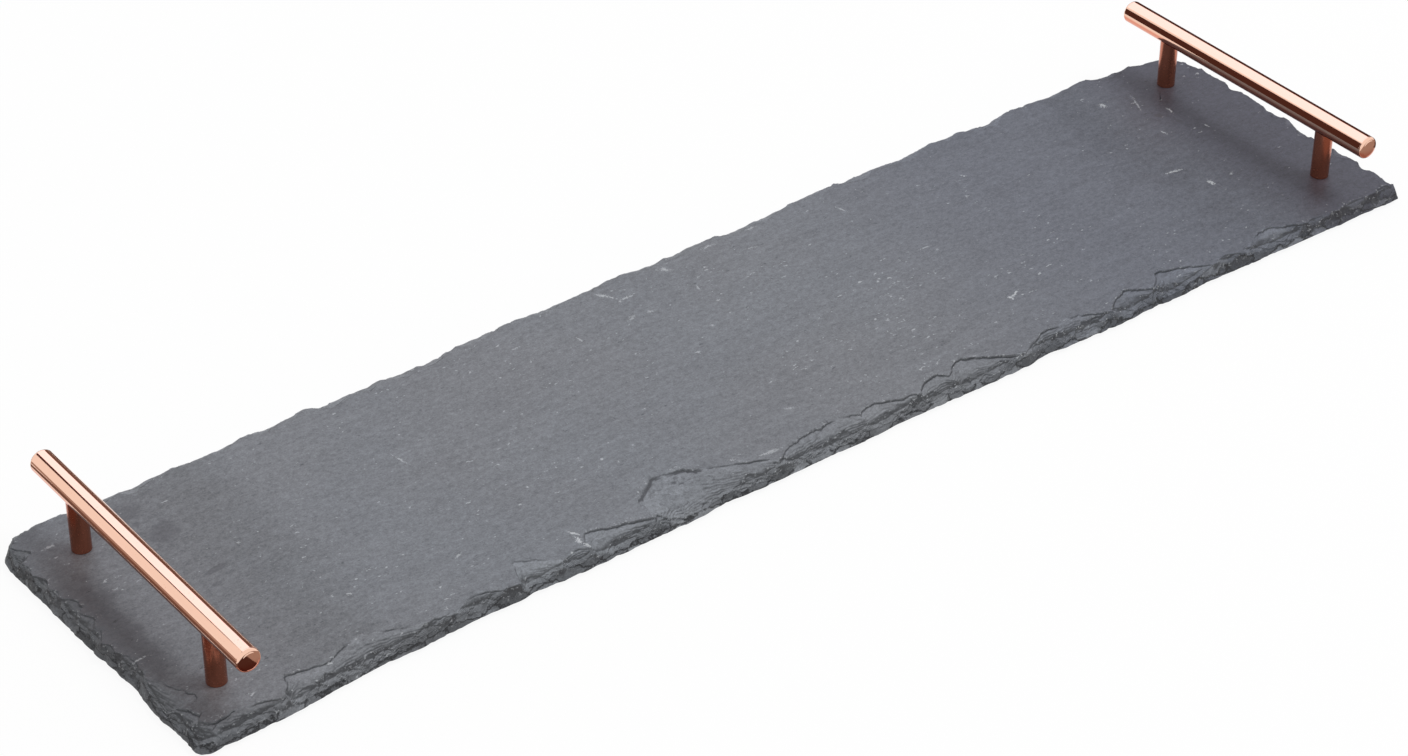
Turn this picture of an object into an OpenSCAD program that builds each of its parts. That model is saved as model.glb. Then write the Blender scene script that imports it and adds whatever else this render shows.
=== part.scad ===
// Slate serving board with a copper bar handle at each end, in millimetres.
// X runs along the board, Y across it (the front is -Y) and Z up.
// The origin is on the table, under the middle of the board.

/* [Slate] */
// Length of the slate over its widest points
slate_length = 606; // [480:1:800]
// Width of the slate over its widest points
slate_width = 151; // [140:1:300]
// Thickness of the slate
slate_thickness = 6.8; // [5.6:0.1:10]
// Rounding of the two front corners
front_corner_r = 5; // [2:0.5:12]
// Rounding of the two rear corners
rear_corner_r = 9; // [2:0.5:14]

/* [Dressed edge] */
// How far the hand-cut outline wanders in from straight
edge_wander = 5.4; // [0:0.2:7]
// Depth of the small chips along the outline
chip_depth = 0.45; // [0:0.05:0.8]
// How far in from the outline a full flake scar reaches
flake_reach = 10; // [5:0.5:11]
// Height of the broken lip along the bottom edge
lip_height = 1.2; // [0.6:0.1:2.2]
// How far the lip leans in
lip_lean = 0.45; // [0.2:0.05:0.8]
// Height of the step where a scar ends under the face
scar_step = 0.75; // [0.3:0.05:1.2]
// Height of the second step, part of the way down a scar
second_step = 0.5; // [0.1:0.05:0.8]
// Width of the border that the scars may lie in
edge_border = 34; // [32:1:40]
// Spacing of the sections that shape the edge
section_gap = 3; // [2.6:0.2:8]

/* [Handles] */
// Distance between the two posts of a handle, centre to centre
post_pitch = 96; // [76:1:104]
// Distance from the end of the slate to a handle's centre line
post_inset = 24.5; // [22:0.5:60]
// Diameter of a post
post_d = 8; // [7:0.5:9]
// Outer diameter of the bar
bar_d = 10; // [9.5:0.5:14]
// How far the bar runs past the centre of each post
bar_overhang = 26; // [16:1:40]
// Wall of the bar's tube
bar_wall = 1.2; // [0.9:0.1:1.5]
// Height of the bar's centre line above the slate
bar_height = 26; // [25:1:40]

/* [Bar caps] */
// Length of a cap outside the tube
cap_length = 1.8; // [1.4:0.1:4]
// Rounding of a cap's shoulder
cap_shoulder_r = 0.9; // [0.4:0.1:1.2]
// Chamfer that makes the crease between a cap and the tube
cap_crease = 0.2; // [0.1:0.05:0.4]
// Length of the spigot that holds a cap in the tube
spigot_length = 5; // [3:0.5:7]

/* [Fixings] */
// Outer diameter of the screw and stud threads
thread_d = 4; // [3:0.5:4]
// Solid web left in a post between its two tapped holes
post_web = 2.5; // [1.5:0.5:8]
// Diameter of a screw's head
head_d = 8; // [7:0.5:8.5]
// Height of a screw's head
head_height = 2.4; // [1.8:0.1:2.8]
// Depth of the cross recess in a screw's head
recess_depth = 1.3; // [0.8:0.1:1.5]
// Length of each arm of the cross, end to end
recess_length = 4.2; // [3:0.1:5]
// Width of each arm of the cross
recess_width = 0.8; // [0.5:0.1:1.2]
// Outer diameter of a washer
washer_d = 9; // [8.5:0.5:10]
// Thickness of a washer
washer_thickness = 0.8; // [0.5:0.1:1]
// Length of the stud's thread in a post
stud_grip = 5.5; // [4:0.5:6]
// Height of the drawn collar that takes the stud inside the tube
collar_height = 2.2; // [1:0.1:3]
// Wall of the drawn collar
collar_wall = 1.2; // [0.8:0.1:1.5]
// Diameter of the screw holes drilled through the slate
slate_hole_d = 5; // [4.5:0.1:6]
// Diameter of the counterbores under the slate
counterbore_d = 11; // [10.5:0.5:14]
// Depth of the counterbores under the slate
counterbore_depth = 3; // [2.6:0.1:3.2]

/* [Feet] */
// Diameter of a foot pad
foot_d = 14; // [8:1:24]
// Thickness of a foot pad
foot_height = 2; // [1.5:0.1:5]
// Rounding of a foot pad's lower edge
foot_edge_r = 0.5; // [0.2:0.1:1]
// Distance from the end of the slate to a foot's centre
foot_end_inset = 52; // [45:1:90]
// Distance from the side of the slate to a foot's centre
foot_side_inset = 24; // [18:1:36]

/* [Clearances] */
// Clearance of threads and spigots, on the radius
fit = 0.05; // [0.03:0.01:0.1]
// Clearance of a screw in its washer, on the radius
washer_fit = 0.15; // [0.1:0.05:0.3]
// Room left beyond the tip of a screw or stud
tip_room = 0.8; // [0.4:0.1:1]
// Chamfer at the ends of the threads
thread_chamfer = 0.4; // [0.2:0.1:0.6]

/* [Hidden] */
$fn = 64;
left = -1;
right = 1;
front = -1;
rear = 1;
over = 0.5; // overrun of every cut

slate_color = [0.34, 0.35, 0.37];
copper = [0.83, 0.52, 0.39];
dark_copper = [0.62, 0.36, 0.27];
steel = [0.7, 0.71, 0.73];
pad_black = [0.09, 0.09, 0.1];

// Heights, from the table up
underside_z = foot_height;
face_z = foot_height + slate_thickness;
seat_z = foot_height + counterbore_depth;
bar_z = face_z + bar_height;

post_x = slate_length / 2 - post_inset;
post_y = post_pitch / 2;
foot_x = slate_length / 2 - foot_end_inset;
foot_y = slate_width / 2 - foot_side_inset;

bar_r = bar_d / 2;
bore_r = bar_r - bar_wall;
post_r = post_d / 2;
thread_r = thread_d / 2;
tapped_r = thread_r + fit;
collar_r = thread_r + collar_wall;
bar_length = post_pitch + 2 * bar_overhang;
tube_length = bar_length - 2 * cap_length;
saddle_r = bar_r + fit;
saddle_height = bar_height - bar_r; // from the slate to the tube's underside
screw_depth = saddle_height - stud_grip - post_web - 2 * tip_room; // its thread in a post
screw_length = screw_depth + washer_thickness + slate_thickness - counterbore_depth;
cap_face_r = bar_r - cap_shoulder_r;

// Outline of the slate. Each pair is [place along the side, how far in], the first as a share
// of the side, from left to right or from front to rear, and the second of edge_wander.
front_wander_shares = [
    [0, 0.35], [0.064, 0.4], [0.09, 0.66], [0.13, 1.02], [0.163, 0.88], [0.204, 1.14], [0.23, 0.96],
    [0.245, 1.16], [0.27, 0.9], [0.33, 0.9], [0.37, 0.88], [0.392, 1.15], [0.42, 0.92], [0.476, 0.93],
    [0.51, 0.77], [0.534, 0.97], [0.57, 0.84], [0.625, 0.66], [0.647, 0.67], [0.664, 0.98], [0.683, 0.72],
    [0.73, 0.5], [0.757, 0.64], [0.782, 0.48], [0.815, 0.64], [0.856, 0.4], [0.922, 0.24], [0.935, 0.1],
    [0.955, 0.18], [0.98, 0], [1, 0]
];
rear_wander_shares = [
    [0, 0.8], [0.026, 0.42], [0.07, 0.66], [0.125, 0.5], [0.166, 0.68], [0.19, 0.4], [0.207, 0.56],
    [0.224, 0.2], [0.24, 0.52], [0.287, 0.4], [0.315, 0.66], [0.345, 0.36], [0.386, 0.15], [0.43, 0.3],
    [0.488, 0.12], [0.518, 0.34], [0.55, 0.14], [0.595, 0.48], [0.64, 0.18], [0.661, 0], [0.724, 0.02],
    [0.744, 0.22], [0.76, 0.02], [0.826, 0.28], [0.867, 0.05], [0.884, 0.4], [0.917, 0.22], [0.933, 0.5],
    [0.967, 0.88], [0.983, 1.3], [1, 1.6]
];
left_wander_shares = [
    [0, 0.25], [0.11, 0.4], [0.17, 0.2], [0.255, 0.26], [0.32, 0.54], [0.374, 0.34], [0.407, 0.4],
    [0.467, 0.2], [0.6, 0.12], [0.8, 0.08], [0.904, 0], [1, 0.1]
];
right_wander_shares = [
    [0, 0], [0.036, 0.55], [0.09, 0.36], [0.136, 0.76], [0.195, 0.2], [0.25, 0.42], [0.368, 0.65],
    [0.434, 0.44], [0.487, 0.06], [0.566, 0.46], [0.646, 0.18], [0.725, 0.5], [0.778, 0.06], [0.831, 0.34],
    [0.884, 0.1], [0.937, 0.6], [1, 1]
];

// Flake scars along each side: [start, end, reach, place of the deepest point]. The first two are
// shares of the side, the third of flake_reach and the last of the scar's own width.
front_scar_shares = [
    [-0.01, 0.028, 0.75, 0.5], [0.02, 0.066, 0.66, 0.4], [0.064, 0.126, 1.1, 0.15],
    [0.092, 0.178, 0.95, 0.4], [0.168, 0.21, 0.4, 0.5], [0.2, 0.245, 0.5, 0.3],
    [0.235, 0.283, 0.92, 0.2], [0.28, 0.33, 0.8, 0.3], [0.318, 0.362, 0.45, 0.5],
    [0.354, 0.45, 2.1, 0.13], [0.437, 0.472, 0.7, 0.4], [0.455, 0.515, 0.85, 0.7],
    [0.503, 0.552, 0.78, 0.5], [0.53, 0.562, 0.4, 0.6], [0.556, 0.59, 0.75, 0.7],
    [0.583, 0.643, 1.05, 0.25], [0.638, 0.704, 0.5, 0.75], [0.682, 0.73, 0.72, 0.3],
    [0.723, 0.768, 0.83, 0.45], [0.764, 0.822, 1.02, 0.3], [0.818, 0.858, 0.35, 0.5],
    [0.852, 0.913, 0.8, 0.55], [0.906, 0.965, 0.35, 0.4], [0.955, 1.01, 0.3, 0.5]
];
rear_scar_shares = [
    [-0.01, 0.04, 0.4, 0.5], [0.035, 0.09, 0.65, 0.4], [0.085, 0.14, 0.8, 0.6],
    [0.13, 0.2, 0.6, 0.35], [0.19, 0.26, 0.85, 0.5], [0.25, 0.3, 0.5, 0.4],
    [0.29, 0.37, 0.9, 0.6], [0.36, 0.41, 0.5, 0.5], [0.4, 0.47, 0.8, 0.35],
    [0.46, 0.54, 0.7, 0.6], [0.53, 0.58, 0.55, 0.5], [0.57, 0.66, 0.95, 0.4],
    [0.65, 0.7, 0.5, 0.5], [0.69, 0.77, 0.8, 0.6], [0.76, 0.82, 0.6, 0.4],
    [0.81, 0.88, 0.75, 0.5], [0.87, 0.93, 0.6, 0.4], [0.92, 1.01, 0.7, 0.5]
];
left_scar_shares = [
    [-0.04, 0.08, 0.8, 0.6], [0.06, 0.15, 0.7, 0.4], [0.13, 0.22, 0.65, 0.6],
    [0.17, 0.32, 1.15, 0.35], [0.31, 0.41, 0.5, 0.5], [0.4, 0.55, 0.5, 0.6],
    [0.52, 0.64, 0.65, 0.5], [0.62, 0.71, 0.62, 0.6], [0.69, 0.8, 0.45, 0.5],
    [0.79, 0.93, 0.75, 0.6], [0.91, 1.05, 0.4, 0.5]
];
right_scar_shares = [
    [-0.05, 0.08, 0.45, 0.5], [0.06, 0.19, 0.6, 0.5], [0.17, 0.3, 0.5, 0.4],
    [0.28, 0.45, 0.75, 0.6], [0.43, 0.57, 0.55, 0.4], [0.55, 0.7, 0.7, 0.5],
    [0.68, 0.8, 0.5, 0.6], [0.78, 0.92, 0.65, 0.4], [0.9, 1.05, 0.55, 0.5]
];
least_reach_share = 0.24; // of flake_reach, where no scar lies
lower_limit_share = 0.4; // of the scar above, which the small scars under it stay within
middle_shares = [0.35, 0.65]; // least and most of a scar's way in, where its second step lies
scar_tiers = 7;

// For the front, right, rear and left: the widest of the small scars, as a share of flake_reach, and
// how far a scar has fallen at its lower rim, as a share of the height between its step and the lip
lower_reach_shares = [0.2, 0.12, 0.1, 0.2];
fall_shares = [0.72, 0.2, 0.16, 0.74];
wander_shares = [front_wander_shares, right_wander_shares, rear_wander_shares, left_wander_shares];
scar_shares = [front_scar_shares, right_scar_shares, rear_scar_shares, left_scar_shares];
along_x = [true, false, true, false]; // front, right, rear, left
side_length = [slate_length, slate_width, slate_length, slate_width];
heading = [[1, 0], [0, 1], [-1, 0], [0, -1]];
start_corner = [
    [-slate_length, -slate_width] / 2, [slate_length, -slate_width] / 2,
    [slate_length, slate_width] / 2, [-slate_length, slate_width] / 2
];
start_r = [front_corner_r, front_corner_r, rear_corner_r, rear_corner_r];
corner_sections = 4;

function mix(a, b, t) = a + (b - a) * t;
function next_side(k) = (k + 1) % 4;
function place_share(k, p) = along_x[k] ? p.x / slate_length + 1 / 2 : p.y / slate_width + 1 / 2;

// Sections round a plain rounded rectangle, anticlockwise from the front left corner, as [side, point]
function straight_sections(k) =
    let (run = side_length[k] - start_r[k] - start_r[next_side(k)], n = ceil(run / section_gap))
    [for (i = [0:n - 1]) [k, start_corner[k] + heading[k] * (start_r[k] + run * i / n)]];
function corner_sections_after(k) =
    let (m = next_side(k), r = start_r[m], centre = start_corner[m] + (heading[m] - heading[k]) * r)
    [
        for (i = [0:corner_sections - 1])
            let (a = 90 * i / corner_sections)
            [a < 45 ? k : m, centre + r * (heading[k] * sin(a) - heading[m] * cos(a))]
    ];
plain_sections = [
    for (k = [0:3])
        for (s = concat(straight_sections(k), corner_sections_after(k))) s
];

// The hand-cut outline wanders in from the rectangle, and small chips are broken out of it
function wander(k, share) = edge_wander * lookup(share, wander_shares[k]);
function chip(share, n) = chip_depth * (1 + sin(360 * n * share) * sin(n * n + 360 * 2.7 * n * share)) / 2;
function wandered(p) =
    let (fx = place_share(0, p), fy = place_share(1, p))
    [
        p.x + mix(wander(3, fy) + chip(fy, 11), -wander(1, fy) - chip(fy, 9), fx),
        p.y + mix(wander(0, fx) + chip(fx, 37), -wander(2, fx) - chip(fx, 31), fy)
    ];
wandered_points = [for (s = plain_sections) wandered(s[1])];
low = [min([for (p = wandered_points) p.x]), min([for (p = wandered_points) p.y])];
high = [max([for (p = wandered_points) p.x]), max([for (p = wandered_points) p.y])];

// The outline is centred and brought to the slate's length and width over its widest points
outline = [
    for (p = wandered_points)
        [
            (p.x - (low.x + high.x) / 2) * slate_length / (high.x - low.x),
            (p.y - (low.y + high.y) / 2) * slate_width / (high.y - low.y)
        ]
];

// A place that lies off mm in from point p of the outline, square to the edge or mitred at a corner
function inner(p) = [
    max(min(p.x, slate_length / 2 - edge_border), edge_border - slate_length / 2),
    max(min(p.y, slate_width / 2 - edge_border), edge_border - slate_width / 2)
];
function inward(p, off) = let (v = inner(p) - p) p + v * off / max(abs(v.x), abs(v.y));

// Reach of one scar at a place along its side: a quick rise to its deepest point, then a slow fall
function scar(share, s) =
    let (u = (share - s[0]) / (s[1] - s[0]))
    u <= 0 || u >= 1 ? 0
    : u < s[3] ? s[2] * pow(sin(90 * u / s[3]), 0.6)
    : s[2] * pow(cos(90 * (u - s[3]) / (1 - s[3])), 0.8);
function scar_reach(k, share) =
    flake_reach * max([least_reach_share, for (s = scar_shares[k]) scar(share, s)]);

// Small scars under the terrace, a row of scallops of uneven width
function scallop(share, n) = abs(sin(180 * n * share + 70 * sin(180 * n * share / 3.3) + 20 * n));
function lower_reach(k, share, reach) =
    min(flake_reach * lower_reach_shares[k] * (0.25 + 0.75 * scallop(share, along_x[k] ? 34 : 11)),
        reach * lower_limit_share);

// Rings of points from the bottom outline up to the face, as [how far in, height]
function tiers(k, share) =
    let (
        reach = scar_reach(k, share),
        lower = lip_lean + lower_reach(k, share, reach),
        lip = lip_height * (0.7 + 0.6 * scallop(share, along_x[k] ? 41 : 13)),
        step = scar_step * (0.6 + 0.4 * scallop(share, along_x[k] ? 23 : 7)),
        terrace = slate_thickness - step,
        rim = mix(terrace, lip, fall_shares[k]),
        way = mix(middle_shares[0], middle_shares[1], scallop(share, along_x[k] ? 29 : 9)),
        middle = mix(rim, terrace, way),
        drop = min(second_step, middle - rim) / 2
    )
    [
        [0, 0],
        [lip_lean, lip],
        [lower, rim],
        [mix(lower, reach, way) - drop / 2, middle - drop],
        [mix(lower, reach, way) + drop / 2, middle + drop],
        [reach, terrace],
        [reach + step / 2, slate_thickness]
    ];
sections = len(plain_sections);
before_top_ring = scar_tiers + 1;
function after(i) = (i + 1) % sections;
function before(i) = (i + sections - 1) % sections;

// The flat field inside the border, one corner at each section. At its corners many sections share one.
field_points = [for (p = outline) inner(p)];
function field_corner(i) = field_points[i] == field_points[before(i)] ? field_corner(before(i)) : i;

// The rings run from the field of the underside out to the outline, up the scars and in to the field
// of the face. The middle points of the two fields come last.
slate_points = concat(
    [for (p = field_points) [p.x, p.y, underside_z]],
    [
        for (t = [0:scar_tiers - 1])
            for (i = [0:sections - 1])
                let (
                    k = plain_sections[i][0],
                    tier = tiers(k, place_share(k, plain_sections[i][1]))[t],
                    p = inward(outline[i], tier[0])
                )
                [p.x, p.y, underside_z + tier[1]]
    ],
    [for (p = field_points) [p.x, p.y, face_z]],
    [[0, 0, underside_z], [0, 0, face_z]]
);
function corner_index(t, i) =
    t * sections + (t == 0 || t == before_top_ring ? field_corner(i) : i);
underside_middle = (before_top_ring + 1) * sections;
face_middle = underside_middle + 1;
function strip(t, i) =
    let (
        a = corner_index(t, i),
        b = corner_index(t, after(i)),
        c = corner_index(t + 1, after(i)),
        d = corner_index(t + 1, i)
    )
    [if (a != b) [a, d, b], if (c != d) [b, d, c]];
function fan(t, i, middle) =
    let (a = corner_index(t, i), b = corner_index(t, after(i)))
    a == b ? [] : middle == face_middle ? [[b, a, middle]] : [[a, b, middle]];
slate_faces = [
    for (i = [0:sections - 1])
        for (
            face = concat(
                fan(0, i, underside_middle),
                [for (t = [0:before_top_ring - 1]) for (half = strip(t, i)) half],
                fan(before_top_ring, i, face_middle)
            )
        )
            face
];

// Points of a quarter circle in the plane, from angle a, turning by 90 degrees
function quarter(centre, r, a) = [for (i = [0:6]) centre + r * [cos(a + 15 * i), sin(a + 15 * i)]];

module at_post(side, row, z) translate([side * post_x, row * post_y, z]) children();

// A threaded length, plain at its outer diameter, chamfered at both ends
module thread(length)
    rotate_extrude()
        polygon([
            [0, 0], [thread_r - thread_chamfer, 0], [thread_r, thread_chamfer],
            [thread_r, length - thread_chamfer], [thread_r - thread_chamfer, length], [0, length]
        ]);

// The board, drilled and counterbored for the four post screws
module slate_board()
    color(slate_color)
        difference() {
            polyhedron(slate_points, slate_faces, convexity = 6);
            for (side = [left, right], row = [front, rear]) {
                at_post(side, row, underside_z - over)
                    cylinder(h = slate_thickness + 2 * over, d = slate_hole_d);
                at_post(side, row, underside_z - over)
                    cylinder(h = counterbore_depth + over, d = counterbore_d);
            }
        }

// A round solid that lies along Y, centred
module lying(length, r) rotate([90, 0, 0]) cylinder(h = length, r = r, center = true);

// Hollow bar with a drawn and tapped collar inside over each post
module grip_tube(side)
    color(copper)
        translate([side * post_x, 0, bar_z])
            difference() {
                union() {
                    difference() {
                        lying(tube_length, bar_r);
                        lying(tube_length + 2 * over, bore_r);
                    }
                    for (row = [front, rear])
                        intersection() {
                            translate([0, row * post_y, -bar_r])
                                cylinder(h = bar_wall + collar_height, r = collar_r);
                            lying(tube_length, bar_r - bar_wall / 2);
                        }
                }
                for (row = [front, rear])
                    translate([0, row * post_y, -bar_r - over])
                        cylinder(h = bar_r + over, r = tapped_r);
            }

// Domed cap with a spigot that presses into the tube
module end_cap(side, row)
    color(copper)
        translate([side * post_x, row * tube_length / 2, bar_z])
            rotate([-90 * row, 0, 0])
                rotate_extrude()
                    polygon(concat(
                        [
                            [0, -spigot_length], [bore_r - fit - cap_crease, -spigot_length],
                            [bore_r - fit, cap_crease - spigot_length], [bore_r - fit, 0],
                            [bar_r - cap_crease, 0], [bar_r, cap_crease]
                        ],
                        quarter([cap_face_r, cap_length - cap_shoulder_r], cap_shoulder_r, 0),
                        [[0, cap_length]]
                    ));

// Post that stands on the slate, saddled to the bar and tapped at both ends
module post(side, row)
    color(dark_copper)
        at_post(side, row, face_z)
            difference() {
                cylinder(h = bar_height - sqrt(bar_r * bar_r - post_r * post_r), r = post_r);
                translate([0, 0, bar_height]) lying(post_d + 2 * over, saddle_r);
                translate([0, 0, -over]) cylinder(h = screw_depth + tip_room + over, r = tapped_r);
                translate([0, 0, saddle_height - stud_grip - tip_room])
                    cylinder(h = stud_grip + tip_room + bar_r, r = tapped_r);
            }

// Headless stud that draws the bar down on its post
module stud(side, row)
    color(steel)
        at_post(side, row, face_z + saddle_height - stud_grip)
            thread(stud_grip + bar_wall + collar_height);

// Pan-head screw, driven up through the slate into a post
module screw(side, row)
    color(steel)
        at_post(side, row, seat_z - washer_thickness)
            difference() {
                union() {
                    thread(screw_length);
                    mirror([0, 0, 1])
                        rotate_extrude()
                            polygon(concat(
                                [[0, 0], [head_d / 2, 0]],
                                quarter([head_d / 2 - head_height / 2, head_height / 2], head_height / 2, 0),
                                [[0, head_height]]
                            ));
                }
                for (turn = [0, 90])
                    rotate([0, 0, turn])
                        translate([-recess_length / 2, -recess_width / 2, -head_height - over])
                            cube([recess_length, recess_width, recess_depth + over]);
            }

// Plain washer that spreads the screw's load on the slate
module washer(side, row)
    color(steel)
        at_post(side, row, seat_z - washer_thickness)
            difference() {
                cylinder(h = washer_thickness, d = washer_d);
                translate([0, 0, -over])
                    cylinder(h = washer_thickness + 2 * over, r = thread_r + washer_fit);
            }

// Round pad stuck under the slate
module foot(side, row)
    color(pad_black)
        translate([side * foot_x, row * foot_y, 0])
            rotate_extrude()
                polygon(concat(
                    [[0, foot_height], [0, 0]],
                    quarter([foot_d / 2 - foot_edge_r, foot_edge_r], foot_edge_r, -90),
                    [[foot_d / 2, foot_height]]
                ));

slate_board();
grip_tube(left);  // left_grip_tube
grip_tube(right);  // right_grip_tube
end_cap(left, front);  // left_front_cap
end_cap(left, rear);  // left_rear_cap
end_cap(right, front);  // right_front_cap
end_cap(right, rear);  // right_rear_cap
post(left, front);  // left_front_post
post(left, rear);  // left_rear_post
post(right, front);  // right_front_post
post(right, rear);  // right_rear_post
stud(left, front);  // left_front_stud
stud(left, rear);  // left_rear_stud
stud(right, front);  // right_front_stud
stud(right, rear);  // right_rear_stud
screw(left, front);  // left_front_screw
screw(left, rear);  // left_rear_screw
screw(right, front);  // right_front_screw
screw(right, rear);  // right_rear_screw
washer(left, front);  // left_front_washer
washer(left, rear);  // left_rear_washer
washer(right, front);  // right_front_washer
washer(right, rear);  // right_rear_washer
foot(left, front);  // left_front_foot
foot(left, rear);  // left_rear_foot
foot(right, front);  // right_front_foot
foot(right, rear);  // right_rear_foot
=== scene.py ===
import math
import bmesh
import bpy
import numpy as np
from mathutils import Matrix, Vector
from mathutils.geometry import delaunay_2d_cdt


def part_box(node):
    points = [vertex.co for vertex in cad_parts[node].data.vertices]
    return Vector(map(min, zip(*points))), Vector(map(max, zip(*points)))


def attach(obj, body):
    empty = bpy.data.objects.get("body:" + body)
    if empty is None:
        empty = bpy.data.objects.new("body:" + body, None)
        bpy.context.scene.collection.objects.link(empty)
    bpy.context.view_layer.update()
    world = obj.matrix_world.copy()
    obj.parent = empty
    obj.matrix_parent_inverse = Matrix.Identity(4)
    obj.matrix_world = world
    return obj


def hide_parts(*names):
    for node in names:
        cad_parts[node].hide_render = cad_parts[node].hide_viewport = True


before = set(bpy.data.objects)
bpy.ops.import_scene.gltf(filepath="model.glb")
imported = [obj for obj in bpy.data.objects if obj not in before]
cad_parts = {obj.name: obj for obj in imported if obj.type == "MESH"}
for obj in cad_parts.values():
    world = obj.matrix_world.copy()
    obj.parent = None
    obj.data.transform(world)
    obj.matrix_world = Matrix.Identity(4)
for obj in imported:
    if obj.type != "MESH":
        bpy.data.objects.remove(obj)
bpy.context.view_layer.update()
mm = 0.001
places = [(side, row) for side in ("left", "right") for row in ("front", "rear")]
print("frame loaded:", len(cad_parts), "nodes")


# A socket of a node tree. Sums of sockets and numbers add the Math nodes they need.
class Wire:
    def __init__(self, tree, socket=None):
        self.tree, self.socket = tree, socket

    # Each socket's value is a number, a link or a list of links
    def node(self, kind, values=None, out=0, **settings):
        made = self.tree.nodes.new(kind)
        for name, value in settings.items():
            if name == "choices":
                while len(made.index_switch_items) < value:
                    made.index_switch_items.new()
            else:
                setattr(made, name, value)
        for key, value in (values or {}).items():
            for part in value if isinstance(value, list) else [value]:
                if isinstance(part, Wire):
                    self.tree.links.new(part.socket, made.inputs[key])
                else:
                    made.inputs[key].default_value = part
        return Wire(self.tree, made.outputs[out] if made.outputs else None)

    def math(self, operation, *others):
        return self.node("ShaderNodeMath", dict(enumerate((self, *others))), operation=operation)

    def __add__(self, other):
        return self.math("ADD", other)

    def __sub__(self, other):
        return self.math("SUBTRACT", other)

    def __rsub__(self, other):
        return self.node("ShaderNodeMath", {0: other, 1: self}, operation="SUBTRACT")

    def __mul__(self, other):
        return self.math("MULTIPLY", other)

    def __neg__(self):
        return self * -1

    __radd__, __rmul__ = __add__, __mul__

    # 0 below low, 1 above high, and smooth between them
    def between(self, low, high):
        return self.node("ShaderNodeMapRange", {0: self, 1: low, 2: high}, interpolation_type="SMOOTHSTEP")

    # The share of color that self asks for, laid over under
    def tint(self, under, color):
        return self.node("ShaderNodeMix", {0: self, 6: under, 7: color}, 2, data_type="RGBA")

    # A colour made lighter or darker
    def scaled(self, amount):
        return self.node("ShaderNodeVectorMath", {"Vector": self, "Scale": amount}, operation="SCALE")

    def stretched(self, x, y=1, z=1):
        return self.node("ShaderNodeMapping", {"Vector": self, "Scale": (x, y, z)})

    def noise(self, scale, detail=2.0, roughness=0.5, out=0):
        values = {"Vector": self, "Scale": scale, "Detail": detail, "Roughness": roughness}
        return self.node("ShaderNodeTexNoise", values, out)

    def bump(self, height, distance, strength=1.0, normal=None):
        values = {"Height": height, "Distance": distance, "Strength": strength}
        if normal is not None:
            values["Normal"] = normal
        return self.node("ShaderNodeBump", values)

    def attribute(self, name):
        return self.node("ShaderNodeAttribute", out="Fac", attribute_name=name)

    def vector(self, x=0.0, y=0.0, z=0.0):
        return self.node("ShaderNodeCombineXYZ", {0: x, 1: y, 2: z})

    def moved(self, how, value):
        return self.node("GeometryNodeTransform", {"Geometry": self, how: value})

    # The x, y and z of a vector
    def parts(self):
        made = self.node("ShaderNodeSeparateXYZ", {0: self}).socket.node
        return [Wire(self.tree, socket) for socket in made.outputs]


def strongest(parts):
    most = parts[0]
    for part in parts[1:]:
        most = most.math("MAXIMUM", part)
    return most


def newMaterial(name):
    material = bpy.data.materials.new(name)
    material.use_nodes = True
    material.node_tree.nodes.clear()
    wire = Wire(material.node_tree)
    return material, wire, wire.node("ShaderNodeTexCoord", out="Object")


def closeMaterial(material, wire, values):
    surface = wire.node("ShaderNodeBsdfPrincipled", values)
    wire.node("ShaderNodeOutputMaterial", {"Surface": surface})
    return material


def addObject(name, data):
    made = bpy.data.objects.new(name, data)
    bpy.context.scene.collection.objects.link(made)
    return made


# The camera stands where the photograph was taken
cameraSetup = {
    "azimuth": -37.919,
    "elevation": 35.558,
    "roll": 0.369,
    "distance": 1.46685,
    "target": (-0.02051, 0.00115, 0.002),
    "lens": 93.24,
}


def addCamera(setup):
    azimuth, elevation = math.radians(setup["azimuth"]), math.radians(setup["elevation"])
    level = math.cos(elevation)
    back = Vector((math.sin(azimuth) * level, -math.cos(azimuth) * level, math.sin(elevation)))
    camera = addObject("photoCamera", bpy.data.cameras.new("photoCamera"))
    camera.data.lens = setup["lens"]
    facing = (-back).to_track_quat("-Z", "Y").to_matrix().to_4x4()
    roll = Matrix.Rotation(math.radians(setup["roll"]), 4, "Z")
    camera.matrix_world = Matrix.Translation(Vector(setup["target"]) + back * setup["distance"]) @ facing @ roll
    bpy.context.scene.camera = camera


addCamera(cameraSetup)
print("camera placed")


# Studio: a white world, two large soft lamps from the rear and the right, and a pale floor
studio = {
    "worldLight": 0.6,
    "lamps": {
        "rearLamp": {"power": 2.4, "size": 1.4, "place": (0.5, 1.3, 1.3)},
        "rightLamp": {"power": 150.0, "size": 2.0, "place": (2.4, -1.6, 5.2)},
    },
    "floorSize": 30.0,
    "floorColor": (0.92, 0.92, 0.92, 1),
    "floorGlow": 0.92,  # share of the floor that shows plain white to a ray that looks at it
}


# 1 for rays that look at something, and 0 for those that only light it
def looking(wire):
    kinds = ("Is Camera Ray", "Is Glossy Ray", "Is Transmission Ray")
    return strongest([wire.node("ShaderNodeLightPath", out=kind) for kind in kinds])


def addSheet(name, corners, material):
    mesh = bpy.data.meshes.new(name)
    mesh.from_pydata(corners, [], [tuple(range(len(corners)))])
    mesh.materials.append(material)
    return addObject(name, mesh)


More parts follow.
